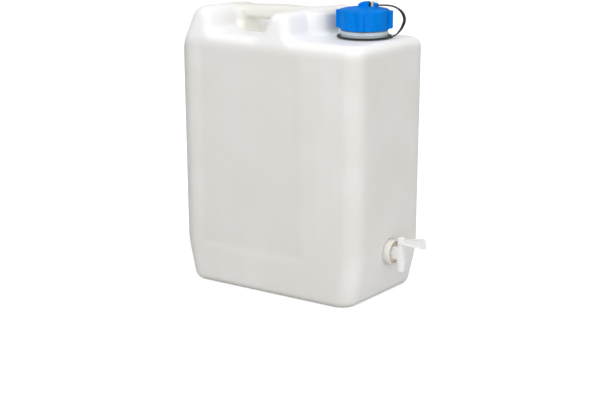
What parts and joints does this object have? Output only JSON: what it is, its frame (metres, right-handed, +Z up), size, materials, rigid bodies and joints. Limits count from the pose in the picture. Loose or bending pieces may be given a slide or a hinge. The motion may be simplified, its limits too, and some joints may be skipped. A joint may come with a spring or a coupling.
{
  "type": "jerry can",
  "caption": "Upright plastic water jerry can with a moulded hand grip, a tethered screw cap on a filler neck and a quarter-turn tap low on one end.",
  "frame": {"origin": "centre of the shell's base, on the floor", "axes": "+Z up, +X towards the tap and filler end, +Y to the left of the tap"},
  "size_m": [0.348, 0.1714, 0.3978],
  "materials": {
    "natural_polyethylene": "satin",
    "blue_plastic": "gloss",
    "black_strap_plastic": "satin",
    "beige_ferrule_plastic": "satin",
    "white_tap_plastic": "gloss",
    "seal_rubber": "matte",
    "gasket_foam": "matte",
    "washer_rubber": "matte"
  },
  "bodies": {
    "can": {"canister_body": "natural_polyethylene", "tap_collar": "natural_polyethylene", "tap_washer": "washer_rubber", "tap_body": "white_tap_plastic"},
    "tether": {"tether_ring": "black_strap_plastic", "tether_strap": "black_strap_plastic"},
    "cap": {"filler_cap": "blue_plastic", "cap_gasket": "gasket_foam", "strap_ferrule": "beige_ferrule_plastic"},
    "tap_key": {"tap_plug": "white_tap_plastic", "plug_seals": "seal_rubber", "tap_lever": "white_tap_plastic"}
  },
  "joints": [
    {"name": "cap_turn", "type": "hinge", "parent": "can", "child": "tether", "pos_m": [0.1015, 0, 0.36], "axis": [0, 0, 1], "range_deg": [0, 720]},
    {"name": "cap_lift", "type": "slide", "parent": "tether", "child": "cap", "axis": [0, 0, 1], "range_m": [0, 0.0121], "deforming": ["tether_strap"]},
    {"name": "tap_turn", "type": "hinge", "parent": "can", "child": "tap_key", "pos_m": [0.1632, 0, 0.08], "axis": [0, 0, 1], "range_deg": [0, 90]}
  ],
  "couplings": [
    {"joint": "cap_lift", "follows": "cap_turn", "m_per_rad": 0.00095493}
  ]
}
